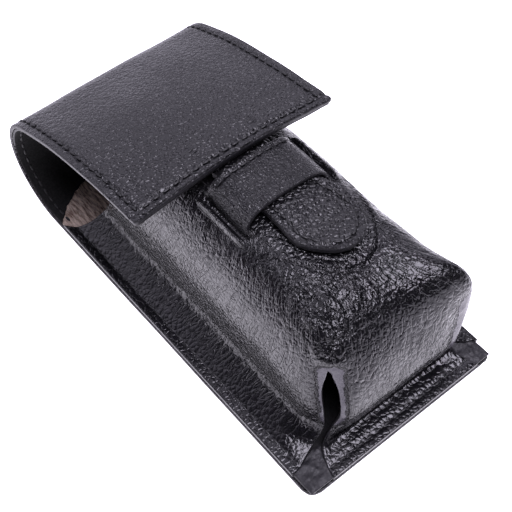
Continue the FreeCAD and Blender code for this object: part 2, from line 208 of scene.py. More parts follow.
# %% pebbled grain
def make_pebbles():
    """Rounded pebbles with creases between them. Vector is in millimetres."""
    tree, given, out = new_group("pebbles", {"Vector": None, "Pebble": 1.1, "Warp": 0.9, "Crease": 0.25},
                                 ["Height", "Crease"])
    link = tree.links.new
    per_mm = maths(tree, "DIVIDE", 1.0, given.outputs["Pebble"])
    wander = add(tree, "ShaderNodeTexNoise", Scale=0.7, Detail=1.0)
    link(given.outputs["Vector"], wander.inputs["Vector"])
    shift = add(tree, "ShaderNodeVectorMath", operation="SUBTRACT")
    link(wander.outputs["Color"], shift.inputs[0])
    shift.inputs[1].default_value = (0.5, 0.5, 0.5)
    pull = add(tree, "ShaderNodeVectorMath", operation="SCALE")
    link(shift.outputs[0], pull.inputs[0])
    link(given.outputs["Warp"], pull.inputs["Scale"])
    moved = add(tree, "ShaderNodeVectorMath", operation="ADD")
    link(given.outputs["Vector"], moved.inputs[0])
    link(pull.outputs[0], moved.inputs[1])
    edge = add(tree, "ShaderNodeTexVoronoi", feature="DISTANCE_TO_EDGE", Randomness=0.95)
    link(moved.outputs[0], edge.inputs["Vector"])
    link(per_mm, edge.inputs["Scale"])
    small = add(tree, "ShaderNodeTexVoronoi", feature="DISTANCE_TO_EDGE", Randomness=1.0)
    link(moved.outputs[0], small.inputs["Vector"])
    link(maths(tree, "MULTIPLY", per_mm, 2.3), small.inputs["Scale"])
    dome = add(tree, "ShaderNodeTexVoronoi", feature="SMOOTH_F1", Smoothness=0.4)
    link(moved.outputs[0], dome.inputs["Vector"])
    link(per_mm, dome.inputs["Scale"])
    crease = add(tree, "ShaderNodeMapRange", interpolation_type="SMOOTHSTEP")
    link(edge.outputs["Distance"], crease.inputs["Value"])
    link(given.outputs["Crease"], crease.inputs["From Max"])
    fine = stepped(tree, small.outputs["Distance"], 0.0, 0.15)
    grit = add(tree, "ShaderNodeTexNoise", Scale=1.4, Detail=1.0)
    link(given.outputs["Vector"], grit.inputs["Vector"])
    height = maths(tree, "MULTIPLY", crease.outputs["Result"], 0.3)
    height = maths(tree, "ADD", height, maths(tree, "MULTIPLY", fine, 0.03))
    height = maths(tree, "SUBTRACT", height, maths(tree, "MULTIPLY", dome.outputs["Distance"], 0.7))
    height = maths(tree, "ADD", height, maths(tree, "MULTIPLY", grit.outputs["Fac"], 0.2))
    link(height, out.inputs["Height"])
    link(maths(tree, "SUBTRACT", 1.0, crease.outputs["Result"]), out.inputs["Crease"])
    return tree


# %% stretch lines and wrinkles
def make_stretch():
    """Fine broken lines along the second axis of the vector, as on hide pulled over a block."""
    tree, given, out = new_group("stretch_lines", {"Vector": None, "Spacing": 1.2, "Length": 6.0},
                                 ["Height", "Line"])
    link = tree.links.new
    parts = add(tree, "ShaderNodeSeparateXYZ")
    link(given.outputs["Vector"], parts.inputs[0])
    joined = add(tree, "ShaderNodeCombineXYZ")
    link(maths(tree, "DIVIDE", parts.outputs["X"], given.outputs["Spacing"]), joined.inputs["X"])
    link(maths(tree, "DIVIDE", parts.outputs["Y"], given.outputs["Length"]), joined.inputs["Y"])
    link(maths(tree, "DIVIDE", parts.outputs["Z"], given.outputs["Spacing"]), joined.inputs["Z"])
    waves = add(tree, "ShaderNodeTexNoise", Scale=1.0, Detail=1.0, Roughness=0.5, Distortion=0.4)
    link(joined.outputs[0], waves.inputs["Vector"])
    middle = maths(tree, "ABSOLUTE", maths(tree, "SUBTRACT", waves.outputs["Fac"], 0.5))
    line = stepped(tree, middle, 0.0, 0.06, 1.0, 0.0)
    link(line, out.inputs["Line"])
    cut = maths(tree, "MULTIPLY", line, 0.3)
    link(maths(tree, "SUBTRACT", waves.outputs["Fac"], cut), out.inputs["Height"])
    return tree


pebbles = make_pebbles()
stretch = make_stretch()
print("node groups:", [g.name for g in bpy.data.node_groups])

# %% [markdown]
# ## Finishes: black hide, moulded hide, cut edge, lining, suede and thread
# The strip is bent when the flap opens, so its grain has to be fixed to the leather: it reads the strip's own
# flat map, made before bending. The pocket never bends, so its grain is solid and reads Object coordinates.
# A black finish is not flat black: the creases between the pebbles are painted darker, as painted shade, and
# the pebbles' tops are glossier than the creases, and glossier still in rubbed patches.

# %% a leather material
flat_map = "flat"
map_size = 210.0


def coordinates(tree, from_map):
    """The pattern's coordinates in millimetres: the piece's flat map, or its place in the frame."""
    turn = add(tree, "ShaderNodeMapping")
    if from_map:
        source = add(tree, "ShaderNodeUVMap", uv_map=flat_map).outputs["UV"]
        turn.inputs["Scale"].default_value = (map_size, map_size, map_size)
    else:
        source = add(tree, "ShaderNodeTexCoord").outputs["Object"]
        turn.inputs["Scale"].default_value = (1 / MM, 1 / MM, 1 / MM)
    tree.links.new(source, turn.inputs["Vector"])
    return turn.outputs["Vector"]


def mixed(tree, share, a, b):
    """A colour between a and b. Each is a colour or a socket."""
    made = add(tree, "ShaderNodeMix", data_type="RGBA")
    tree.links.new(share, made.inputs["Factor"])
    for socket, value in ((made.inputs[6], a), (made.inputs[7], b)):
        if isinstance(value, tuple):
            socket.default_value = (*value, 1.0)
        else:
            tree.links.new(value, socket)
    return made.outputs[2]


def new_material(name, **settings):
    """A material whose shader has these fixed numbers. Gives the material, its tree and its shader."""
    material = bpy.data.materials.new(name)
    material.use_nodes = True
    shader = material.node_tree.nodes["Principled BSDF"]
    for key, value in settings.items():
        shader.inputs[key.replace("_", " ")].default_value = value
    return material, material.node_tree, shader


def bumped(tree, shader, height, distance):
    """Raises and sinks the shader's surface by a height socket times a distance in metres."""
    made = add(tree, "ShaderNodeBump", Strength=1.0, Distance=distance)
    tree.links.new(height, made.inputs["Height"])
    tree.links.new(made.outputs["Normal"], shader.inputs["Normal"])


def hide_material(name, from_map, pebble, depth, gloss, lines=None, moulded=False):
    """Black hide. lines is (strength, spacing, length) of the stretch lines, or None. Moulded hide also reads
    its own attributes: lay, which runs round and down the walls and says how far the hide is drawn; slit_gap,
    the distance from a slit; crumple, where it bunches; and sewn_flat, which is 1 on the sewn flange."""
    material, tree, shader = new_material(name, Specular_IOR_Level=0.5)
    link = tree.links.new
    where = coordinates(tree, from_map)
    grain = add(tree, "ShaderNodeGroup", node_tree=pebbles)
    grain.inputs["Pebble"].default_value = pebble
    link(where, grain.inputs["Vector"])
    patches = add(tree, "ShaderNodeTexNoise", Scale=0.09, Detail=3.0)
    link(where, patches.inputs["Vector"])
    rubbed = stepped(tree, patches.outputs["Fac"], 0.35, 0.7)
    height = grain.outputs["Height"]
    # Painted shade: the creases between the pebbles are coloured darker than the pebbles' tops.
    colour = mixed(tree, grain.outputs["Crease"], black, crease_shade_black)
    if lines:
        strength, spacing, length = lines
        drawn = add(tree, "ShaderNodeGroup", node_tree=stretch)
        drawn.inputs["Spacing"].default_value = spacing
        drawn.inputs["Length"].default_value = length
        if moulded:
            walls = add(tree, "ShaderNodeAttribute", attribute_name="lay")
            link(walls.outputs["Vector"], drawn.inputs["Vector"])
            parts = add(tree, "ShaderNodeSeparateXYZ")
            link(walls.outputs["Vector"], parts.inputs[0])
            strength = maths(tree, "MULTIPLY", parts.outputs["Z"], strength)
            flatter = maths(tree, "SUBTRACT", 1.0, maths(tree, "MULTIPLY", parts.outputs["Z"], 0.6))
            sewn = add(tree, "ShaderNodeAttribute", attribute_name="sewn_flat").outputs["Fac"]
            unsewn = maths(tree, "SUBTRACT", 1.0, maths(tree, "MULTIPLY", sewn, 0.6))
            flatter = maths(tree, "MULTIPLY", flatter, unsewn)
            height = maths(tree, "MULTIPLY", height, flatter)
            knotted = add(tree, "ShaderNodeGroup", node_tree=pebbles, Pebble=2.6, Warp=2.4, Crease=0.2)
            link(where, knotted.inputs["Vector"])
            bunch = add(tree, "ShaderNodeAttribute", attribute_name="crumple").outputs["Fac"]
            knots = maths(tree, "MULTIPLY", knotted.outputs["Height"], maths(tree, "MULTIPLY", bunch, 1.5))
            height = maths(tree, "ADD", height, knots)
            # Painted shade: the creases of the crumpled lumps are coloured darker too.
            knot_crease_shade = maths(tree, "MULTIPLY", knotted.outputs["Crease"], bunch)
            colour = mixed(tree, knot_crease_shade, colour, crease_shade_black)
        else:
            link(where, drawn.inputs["Vector"])
        height = maths(tree, "ADD", height, maths(tree, "MULTIPLY", drawn.outputs["Height"], strength))
    rough = maths(tree, "ADD", maths(tree, "MULTIPLY", grain.outputs["Crease"], 0.1), gloss)
    rough = maths(tree, "SUBTRACT", rough, maths(tree, "MULTIPLY", rubbed, 0.08))
    if moulded:
        gap = add(tree, "ShaderNodeAttribute", attribute_name="slit_gap").outputs["Fac"]
        torn = add(tree, "ShaderNodeTexNoise", Scale=0.8, Detail=4.0, Roughness=0.75)
        link(where, torn.inputs["Vector"])
        gap = maths(tree, "ADD", gap, maths(tree, "MULTIPLY", torn.outputs["Fac"], 2.6))
        bare = stepped(tree, gap, 3.0, 3.4, 1.0, 0.0)
        crack = maths(tree, "MULTIPLY", stepped(tree, gap, 2.8, 3.2), stepped(tree, gap, 3.5, 4.0, 1.0, 0.0))
        colour = mixed(tree, bare, colour, (0.05, 0.046, 0.058))
        # Painted shade: the crack beside the bare band is a groove and is also coloured dark.
        colour = mixed(tree, crack, colour, crease_shade_black)
        covered = maths(tree, "SUBTRACT", 1.0, maths(tree, "MULTIPLY", bare, 0.85))
        height = maths(tree, "MULTIPLY", height, covered)
        height = maths(tree, "SUBTRACT", height, maths(tree, "MULTIPLY", crack, 1.6))
        rough = maths(tree, "ADD", rough, maths(tree, "MULTIPLY", bare, 0.08))
    link(colour, shader.inputs["Base Color"])
    link(rough, shader.inputs["Roughness"])
    bumped(tree, shader, height, depth * MM)
    return material


# The darker black is painted shade, for the creases and cracks; the suede's darkening towards its bottom uses
# it too.
crease_shade_black = (0.002, 0.002, 0.0025)
black = (0.006, 0.0056, 0.007)
strip_hide = hide_material("black_hide", True, pebble=1.05, depth=0.34, gloss=0.25)
band_hide = hide_material("strap_hide", True, pebble=0.9, depth=0.26, gloss=0.25, lines=(1.0, 0.6, 5.0))
moulded_hide = hide_material("pocket_hide", False, pebble=1.25, depth=0.3, gloss=0.19,
                             lines=(0.85, 0.9, 6.0), moulded=True)

# %% the plainer finishes
def grained(name, from_map, colours, scale, depth, rough, streak=(1.0, 1.0, 1.0), **settings):
    """A finish of one noise pattern, drawn out along one axis where it has a nap or a lay."""
    material, tree, shader = new_material(name, **settings)
    where = coordinates(tree, from_map)
    drawn = add(tree, "ShaderNodeMapping", Scale=streak)
    tree.links.new(where, drawn.inputs["Vector"])
    pattern = add(tree, "ShaderNodeTexNoise", Scale=scale, Detail=5.0, Roughness=0.65)
    tree.links.new(drawn.outputs[0], pattern.inputs["Vector"])
    share = stepped(tree, pattern.outputs["Fac"], 0.3, 0.7)
    tree.links.new(mixed(tree, share, *colours), shader.inputs["Base Color"])
    tree.links.new(stepped(tree, pattern.outputs["Fac"], 0.3, 0.7, rough + 0.1, rough - 0.05),
                   shader.inputs["Roughness"])
    bumped(tree, shader, pattern.outputs["Fac"], depth * MM)
    return material


def darken_low(material, start, end):
    """Makes a sheet darker towards its bottom, below a length along its flat map."""
    tree = material.node_tree
    shader = tree.nodes["Principled BSDF"]
    undarkened_colour = shader.inputs["Base Color"].links[0].from_socket
    parts = add(tree, "ShaderNodeSeparateXYZ")
    tree.links.new(coordinates(tree, True), parts.inputs[0])
    darker_share = stepped(tree, parts.outputs["Y"], start, end, 1.0, 0.0)
    tree.links.new(mixed(tree, darker_share, undarkened_colour, crease_shade_black), shader.inputs["Base Color"])


cut_edge = grained("painted_cut_edge", False, ((0.006, 0.006, 0.007), (0.02, 0.019, 0.022)),
                   scale=2.2, depth=0.1, rough=0.45, Specular_IOR_Level=0.35)
lining = grained("black_lining", True, ((0.003, 0.003, 0.003), (0.009, 0.009, 0.009)),
                 scale=1.6, depth=0.08, rough=0.8, Specular_IOR_Level=0.3)
suede = grained("beige_suede", True, ((0.10, 0.05, 0.03), (0.75, 0.62, 0.52)),
                scale=1.0, depth=0.15, rough=0.9, streak=(1.5, 0.3, 1.0), Sheen_Weight=0.3)
darken_low(suede, start=22.0, end=55.0)
flesh_side = grained("dark_flesh_side", False, ((0.0015, 0.0015, 0.0015), (0.005, 0.0045, 0.004)),
                     scale=1.5, depth=0.12, rough=0.9, Specular_IOR_Level=0.2)
thread_black = grained("waxed_thread", False, ((0.002, 0.002, 0.002), (0.008, 0.008, 0.009)),
                       scale=4.0, depth=0.06, rough=0.42)
print("finishes:", sorted(m.name for m in bpy.data.materials))

# %% [markdown]
# ## The strip: cut flat, then bent
# A maker cuts the back, the fold and the flap as one strip, marks the stitch lines while it is flat, and only
# then bends it. The mesh is made the same way. A grid is pulled to the strip's outline, given its thickness,
# pressed along the stitch lines, and bent last, by moving every point to its place round the fold. Bending
# keeps lengths on the outer face, so the flat map made before it stays true.

# %% the line that the strip follows
flat_length = 103.7
low_radius = 17.5
high_radius = 16.0
high_angle = math.radians(69)
bow_radius = 180.0
bow_angle = math.radians(16.5)
low_turn = low_radius * math.pi / 2
high_turn = high_radius * high_angle
junction = flat_length + low_turn
strip_length = junction + high_turn + bow_radius * bow_angle
hide = 1.2
lining_thickness = 0.8
edge_inset = 2.4


def on_fold(s):
    """Where the outer face is at length s from the bottom edge, and which way is out: y, z, out_y, out_z."""
    if s <= flat_length:
        return s, 0.0, 0.0, -1.0
    if s <= junction:
        turn = (s - flat_length) / low_radius
        out = math.sin(turn), -math.cos(turn)
        return flat_length + low_radius * out[0], low_radius + low_radius * out[1], *out
    centre_y = flat_length + low_radius - high_radius
    centre_z = low_radius
    radius = high_radius
    turn = (s - junction) / high_radius
    if turn > high_angle:
        centre_y += (high_radius - bow_radius) * math.cos(high_angle)
        centre_z += (high_radius - bow_radius) * math.sin(high_angle)
        radius = bow_radius
        turn = high_angle + (s - junction - high_turn) / bow_radius
    out = math.cos(turn), math.sin(turn)
    return centre_y + radius * out[0], centre_z + radius * out[1], *out


def lift(x, s):
    """How far the worn strip stands off its line: the flap droops at its sides and flares at a corner."""
    on_flap = ramp(s, junction, strip_length)
    tucked = -1.3 * bell(s - junction - 8, 18)
    droop = tucked + on_flap * (0.75 - 2.4 * (x / half_width) ** 2)
    soft = 0.35 * lumps(x, s, 0, 16.0, 3.1) * ramp(s, 6, 40)
    corner = 0.7 * ramp(x, 20, 29) * ramp(s, strip_length - 12, strip_length)
    return droop + soft + corner


def bent(x, s, depth):
    """The place in the frame of a point on the flat strip, at a depth below its outer face."""
    y, z, out_y, out_z = on_fold(s)
    height = lift(x, s) - depth
    return place(x, y + out_y * height, z + out_z * height)


print("whole strip:", round(strip_length, 1), "mm long, bends at", round(flat_length, 1), "mm")


# %% a sheet of leather: cut, thickened, bevelled, pressed and bent
def cut_sheet(name, columns, rows, outline, thickness, bend, materials, press=None, joined=(), rim=0.3):
    """outline(u, t) is the flat place of a grid point, u from -1 to 1 across and t from 0 to 1 along.
    bend(x, s, depth) is where it ends up. Ends whose s is in joined meet another sheet and stay square."""
    bm = bmesh.new()
    bmesh.ops.create_grid(bm, x_segments=columns, y_segments=rows, size=1.0)
    flat_uv = bm.loops.layers.uv.new(flat_map)
    for v in bm.verts:
        v.co = (*outline(v.co.x, (v.co.y + 1) / 2), 0.0)
    for face in bm.faces:
        for loop in face.loops:
            loop[flat_uv].uv = ((loop.vert.co.x + half_width) / map_size, loop.vert.co.y / map_size)
    bm.normal_update()
    if bm.faces[:][0].normal.z > 0:
        bmesh.ops.reverse_faces(bm, faces=bm.faces)
    made = bmesh.ops.extrude_face_region(bm, geom=bm.faces[:])
    sunk = [g for g in made["geom"] if isinstance(g, bmesh.types.BMVert)]
    bmesh.ops.translate(bm, vec=(0, 0, thickness), verts=sunk)
    bmesh.ops.recalc_face_normals(bm, faces=bm.faces)
    rims = []
    for e in bm.edges:
        flat_edge = abs(e.verts[0].co.z - e.verts[1].co.z) < 1e-6
        if flat_edge and e.calc_face_angle(0.0) > 0.9:
            if not any(all(abs(v.co.y - end) < 1e-3 for v in e.verts) for end in joined):
                rims.append(e)
    for face in bm.faces:
        face.material_index = 0 if abs(face.normal.z) > 0.5 else 1
    bmesh.ops.bevel(bm, geom=rims, offset=min(rim, thickness * 0.3), offset_type="OFFSET",
                    segments=2, profile=0.5, affect="EDGES", material=-1)
    for v in bm.verts:
        x, s, h = v.co
        pressed = press(x, s) if press and h < thickness / 2 else 0.0
        v.co = bend(x, s, h + pressed)
    bmesh.ops.recalc_face_normals(bm, faces=bm.faces)
    return to_object(name, bm, materials)


def rounded(x, past_end, radius):
    """x drawn in near a sheet's end, so that the corner is round. past_end is negative inside the sheet."""
    past = min(radius, past_end + radius)
    if past <= 0 or radius <= 0:
        return x
    narrower = radius - math.sqrt(max(0.0, radius ** 2 - past ** 2))
    return x - math.copysign(narrower * ramp(abs(x), half_width * 0.6, half_width), x)


# %% the strip's outline and its pressed stitch lines
def strip_outline(start, end, radii_start=(0, 0), radii_end=(0, 0), inset=0.0):
    """An outline between two lengths. The radii are of the left and right corners. start may depend on x."""
    def outline(u, t):
        x = (half_width - inset) * (1.25 * u - 0.25 * u ** 3)
        first = start(x) if callable(start) else start
        s = between(first, end, t - 0.5 * math.sin(2 * math.pi * t) / (2 * math.pi))
        side = 0 if x < 0 else 1
        x = rounded(x, first - s, radii_start[side])
        return rounded(x, s - end, radii_end[side]), s
    return outline


def strip_press(x, s):
    """How deep the stitch lines are pressed into the outer face."""
    row = min(abs(half_width - edge_inset - abs(x)), abs(s - edge_inset), abs(strip_length - edge_inset - s))
    return 0.42 * bell(row, 0.55)


def at_depth(depth):
    """How a sheet bends whose upper face lies at that depth below the strip's outer face."""
    return lambda x, s, h: bent(x, s, depth + h)


flap_corners = (0.9, 0.7)
back_piece = cut_sheet("back_and_low_fold", 84, 200, strip_outline(0.0, junction, (3.2, 1.6)), hide,
                       at_depth(0.0), [strip_hide, cut_edge], strip_press, (junction,))
flap_piece = cut_sheet("high_fold_and_flap", 84, 120,
                       strip_outline(junction, strip_length, (0, 0), flap_corners), hide,
                       at_depth(0.0), [strip_hide, cut_edge], strip_press, (junction,))

# %% [markdown]
# ## The lining and the suede
# The back is lined with beige suede, nap up, and the fold and flap with thin black leather that is glued over
# the suede's upper end. Its end was torn, not cut, so the outline's first row wanders.

# %% the lining
suede_thickness = 0.45


def ragged_end(x):
    """Where the black lining stops, inside the pocket's mouth: a slanting, torn line."""
    return 111.0 - 11.0 * (abs(x) / half_width) ** 3 + 0.6 * lumps(x, 0, 0, 1.3)


suede_piece = cut_sheet("back_suede", 60, 130, strip_outline(1.0, 116.0, (3, 1.5), (0, 0), 0.6),
                        suede_thickness, at_depth(hide), [suede, suede])
lining_low = cut_sheet("fold_lining", 60, 40, strip_outline(ragged_end, junction, (0, 0), (0, 0), 0.4),
                       lining_thickness - suede_thickness, at_depth(hide + suede_thickness), [lining, lining],
                       None, (junction,), 0.1)
lining_high = cut_sheet("flap_lining_sheet", 60, 80,
                        strip_outline(junction, strip_length - 0.3, (0, 0), flap_corners, 0.3),
                        lining_thickness, at_depth(hide), [lining, cut_edge], None, (junction,))

# %% [markdown]
# ## The pocket: rings drawn down from the crown
# Wet hide is stretched over a block, so the pocket is one sheet without seams: a nearly flat crown, round
# shoulders, steep walls, and a flange that is sewn down. It could be a box with bevels, but then every wall
# has the same section. Here the crown is a grid, and its three outer sides are extruded again and again.
# Each new ring is moved to its place on three sections: left, end and right. The hide is slit at
# both end corners, where it would bunch up, so the corners are split there and their lips drawn apart.

# %% the pocket's sections
flange_top = 3.2
crown_profile = [(6, 34.0), (18, 35.2), (30, 37.0), (46, 37.9), (62, 38.0), (74, 36.6), (80, 35.2)]
left_section = [(-8, 1.0), (-11, 0.95), (-13.6, 0.875), (-15.7, 0.775), (-17.6, 0.64), (-19.0, 0.46),
                (-19.5, 0.27), (-20.2, 0.15), (-23.5, 0.06), (-26.5, 0.01), (-29, 0.0)]
right_section = [(14, 1.0), (17, 0.965), (20.3, 0.872), (21.8, 0.74), (22, 0.55), (21.7, 0.38),
                 (21.5, 0.22), (21.8, 0.14), (23.4, 0.07), (26.5, 0.014), (29, 0.0)]
end_section = [(21, 1.0), (16.6, 0.965), (13.4, 0.9), (10.7, 0.79), (8.5, 0.655), (6.5, 0.49), (5.0, 0.28),
               (5.9, 0.12), (6.9, 0.012), (3, 0.002), (0, 0.0)]
mouth_line = [80, 80, 80.3, 81, 84, 87.5, 90.5, 92.5, 94, 96, 99]
left_corner_size = [0.01, 3.5, 5.5, 5.6, 6.5, 7, 6.5, 6, 5, 4, 3]
right_corner_size = [0.01, 2.4, 3.2, 3.6, 4.0, 4.4, 4.6, 4.6, 4.2, 3.6, 1.6]
end_slant = [-0.13, -0.14, -0.1, -0.05, -0.02, 0, 0, 0, 0, 0, 0]
slit_side_lip = [0, 0, 0, 0, 0.5, 1.9, 1.8, 0.8, 0.6, 3.0, 6.0]
slit_end_lip = [0, 0, 0, 0, 0.5, 2.0, 1.9, 0.9, 1.9, 4.2, 6.2]
pinch_in = [0, 0, 0.2, 0.8, 2.0, 2.7, 2.4, 1.8, 1.6, 0, 0]
pinch_up = [0, 0, 0, 0.2, 1.8, 2.7, 2.3, 1.2, 0, 0, 0]
superness = 2.4
slit_from = 3.75
far_away = 99.0


def crown_height(y):
    return by_place(crown_profile, y)


def number_along(values, k):
    return along([(v,) for v in values], k)[0]


def corner_arc(size, share):
    """Offsets of a corner's point: share 0 is at the side wall and 1 at the end wall."""
    angle = share * math.pi / 2
    return size * (1 - math.cos(angle) ** (2 / superness)), size * (1 - math.sin(angle) ** (2 / superness))


def walked(line, count, skip_start, skip_end):
    """So many places at equal steps along a line of points, leaving out a length at each end.
    Each place is x, y and the length walked to it."""
    steps = [math.dist(a, b) for a, b in zip(line, line[1:])]
    total = sum(steps)
    found = []
    for i in range(count):
        goal = between(skip_start, total - skip_end, i / (count - 1))
        before = 0.0
        for a, b, step in zip(line, line[1:], steps):
            if goal <= before + step or b is line[-1]:
                share = (goal - before) / step if step else 0.0
                found.append((between(a[0], b[0], share), between(a[1], b[1], share), goal))
                break
            before += step
    return found, total


corner_steps = 24


def ring_lines(k):
    """The plan of ring k as three lines: left side, end and right side, meeting at the corners' middles."""
    left, right, end = along(left_section, k), along(right_section, k), along(end_section, k)
    mouth = number_along(mouth_line, k)
    half = corner_steps // 2
    shares = [i / corner_steps for i in range(corner_steps + 1)]
    left_size = max(0.01, number_along(left_corner_size, k))
    right_size = max(0.01, number_along(right_corner_size, k))
    left_arc = [(left[0] + dx, end[0] + dy) for dx, dy in (corner_arc(left_size, f) for f in shares)]
    right_arc = [(right[0] - dx, end[0] + dy) for dx, dy in (corner_arc(right_size, 1 - f) for f in shares)]
    lines = ([(left[0], mouth)] + left_arc[:half + 1], left_arc[half:] + right_arc[:half + 1],
             right_arc[half:] + [(right[0], mouth)])
    return lines, (left[1], end[1], right[1])


end_columns = 60
side_rows = 130
turn_over = 9.0


def ring_points(k):
    """Where every point of ring k goes: three lists of (place, distance from the slit, signed by side)."""
    lines, (left_share, end_share, right_share) = ring_lines(k)
    side_lip, end_lip = (max(0.0, number_along(lip, k)) for lip in (slit_side_lip, slit_end_lip))
    slant = number_along(end_slant, k)
    inward, upward = number_along(pinch_in, k), number_along(pinch_up, k)
    counts = (side_rows + 1, end_columns + 1, side_rows + 1)
    skips = ((0, side_lip), (end_lip, 0.75 * end_lip), (0.75 * side_lip, 0))
    lists = []
    for part, (line, count, skip) in enumerate(zip(lines, counts, skips)):
        spots, total = walked(line, count, *skip)
        found = []
        for x, y, gone in spots:
            to_left = (total - gone, gone, far_away)[part]
            to_right = (far_away, total - gone, gone)[part]
            near = min(to_left, to_right)
            half_turn = 0.5 * ramp(near, 0, turn_over)
            side_share = left_share if x < 1 else right_share
            share = between(side_share, end_share, 0.5 + half_turn if part == 1 else 0.5 - half_turn)
            y += slant * (x - 1) * bell(max(0.0, y - 8), 14.0)
            x += inward * bell(to_left, 5.5)
            y += upward * bell(to_left, 5.5)
            z = flange_top + (crown_height(y) - flange_top) * share
            found.append(((x, y, z), near * (1 if part == 1 else -1)))
        lists.append(found)
    return lists


# %% the crown, then ring after ring
ring_count = 56
last_ring = len(left_section) - 1


def crown_point(u, v):
    """A point of the crown: u from left to right, v from the end to the mouth."""
    x = between(left_section[0][0], right_section[0][0], u)
    y = between(end_section[0][0], mouth_line[0], v)
    y += end_slant[0] * (x - 1) * bell(max(0.0, y - 8), 14.0)
    camber = 0.9 * (1 - (2 * u - 1) ** 2) * ramp(v, 0.0, 0.12)
    return Vector((x, y, crown_height(y) + camber))


bm = bmesh.new()
bmesh.ops.create_grid(bm, x_segments=end_columns, y_segments=side_rows, size=0.5)
from_slit = bm.verts.layers.float.new("from_slit")
lay = bm.verts.layers.float_vector.new("lay")
grid = {}
for v in bm.verts:
    column, row = round((v.co.x + 0.5) * end_columns), round((v.co.y + 0.5) * side_rows)
    grid[column, row] = v
    v.co = crown_point(column / end_columns, row / side_rows)
    v[from_slit] = far_away
    v[lay] = (v.co.x, v.co.y, 0.6 * (1 - ramp(v.co.y, 22, 42)))
ring = [grid[0, r] for r in range(side_rows, -1, -1)]
ring += [grid[c, 0] for c in range(1, end_columns + 1)]
ring += [grid[end_columns, r] for r in range(1, side_rows + 1)]
corners = (side_rows, side_rows + end_columns)
slit_edges = []
lip_places = {}
first_lay = []


def around_crown(index, spot):
    """The lay of a wall under the crown's edge: how far round the crown, and how far down from its end."""
    end_y = end_section[0][0]
    if index < corners[0]:
        return left_section[0][0] - (spot.y - end_y), end_y
    if index > corners[1]:
        return right_section[0][0] + (spot.y - end_y), end_y
    return spot.x, spot.y


for i in range(1, ring_count + 1):
    k = last_ring * i / ring_count
    left_spots, end_spots, right_spots = ring_points(k)
    edges = [bm.edges.get((a, b)) for a, b in zip(ring, ring[1:])]
    made = bmesh.ops.extrude_edge_only(bm, edges=edges)["geom"]
    fresh = {g for g in made if isinstance(g, bmesh.types.BMVert)}
    next_ring = [next(e.other_vert(v) for e in v.link_edges if e.other_vert(v) in fresh) for v in ring]
    spots = left_spots + end_spots[1:] + right_spots[1:]
    for index, (v, (spot, away)) in enumerate(zip(next_ring, spots)):
        down = (Vector(spot) - ring[index].co).length
        if i == 1:
            first_lay.append(around_crown(index, ring[index].co))
        v[lay] = (first_lay[index][0], ring[index][lay][1] - down, 1.0) if i > 1 else (*first_lay[index], 0.6)
        v.co = spot
        v[from_slit] = away
    if k > slit_from:
        for corner, pair in zip(corners, ((left_spots[-1], end_spots[0]), (right_spots[0], end_spots[-1]))):
            slit_edges.append(bm.edges.get((ring[corner], next_ring[corner])))
            number = 1000 + len(lip_places)
            next_ring[corner][from_slit] = number
            lip_places[number] = pair
    ring = next_ring

# %% open the two slits
bmesh.ops.split_edges(bm, edges=slit_edges)
for v in bm.verts:
    pair = lip_places.get(round(v[from_slit]))
    if pair:
        around = sum(w[from_slit] for f in v.link_faces for w in f.verts if w[from_slit] < 900)
        spot, away = pair[0 if around < 0 else 1]
        v.co = spot
        v[from_slit] = away
bmesh.ops.recalc_face_normals(bm, faces=bm.faces)
if sum(f.normal.z * f.calc_area() for f in bm.faces) < 0:
    bmesh.ops.reverse_faces(bm, faces=bm.faces)
print("pocket sheet:", len(bm.faces), "faces; open edges:", sum(e.is_boundary for e in bm.edges))

# %% [markdown]
# ## Working the pocket's surface
# The hide is not smooth: it sags and lifts between the walls, bunches above each slit, and stands up in two
# ridges along each strap slit, where the knife went through and the stitches pull. Each of these is a small
# move along the surface's own normal, worked out from the distance to the place that causes it.

# %% sag, bunching, strap slits and stitch lines
tongue_root = Vector((1.2, 63.0))
tongue_skew = math.radians(8)
tongue_length = 37.2
print_past_tip = 3.2
print_half_width = 9.5
print_point = 6.5
tongue_down = Vector((math.sin(tongue_skew), -math.cos(tongue_skew)))
tongue_across = Vector((math.cos(tongue_skew), math.sin(tongue_skew)))


def tongue_frame(x, y):
    """A point in plan as the tongue sees it: how far beside its middle line and how far from its root."""
    from_root = Vector((x, y)) - tongue_root
    return from_root.dot(tongue_across), from_root.dot(tongue_down)


strap_slits = (-10.4, 15.2)
strap_start = 45.0
strap_end = 60.0
left_slit_top = Vector((-16.5, 11.0, 28.0))
bmesh.ops.smooth_vert(bm, verts=[v for v in bm.verts if not v.is_boundary], factor=0.5,
                      use_axis_x=True, use_axis_y=True, use_axis_z=True)
bulges = ((Vector((23.0, 6.0, 25.0)), Vector((2.9, -0.9, 0.0)), 8.0),
          (Vector((20.5, 11.0, 31.0)), Vector((2.2, -3.0, 2.1)), 8.5),
          (Vector((21.0, 24.0, 32.0)), Vector((0.6, -0.2, 0.5)), 8.0),
          (Vector((22.5, 5.0, 17.0)), Vector((3.4, -0.6, 0.0)), 7.0))
for v in bm.verts:
    v.co += sum((push * bell((v.co - at).length, reach) for at, push, reach in bulges), Vector())
bm.normal_update()
slit_gap = bm.verts.layers.float.new("slit_gap")
crumple = bm.verts.layers.float.new("crumple")
sewn_flat = bm.verts.layers.float.new("sewn_flat")
slit_top_height = 24.6
shifts = {}
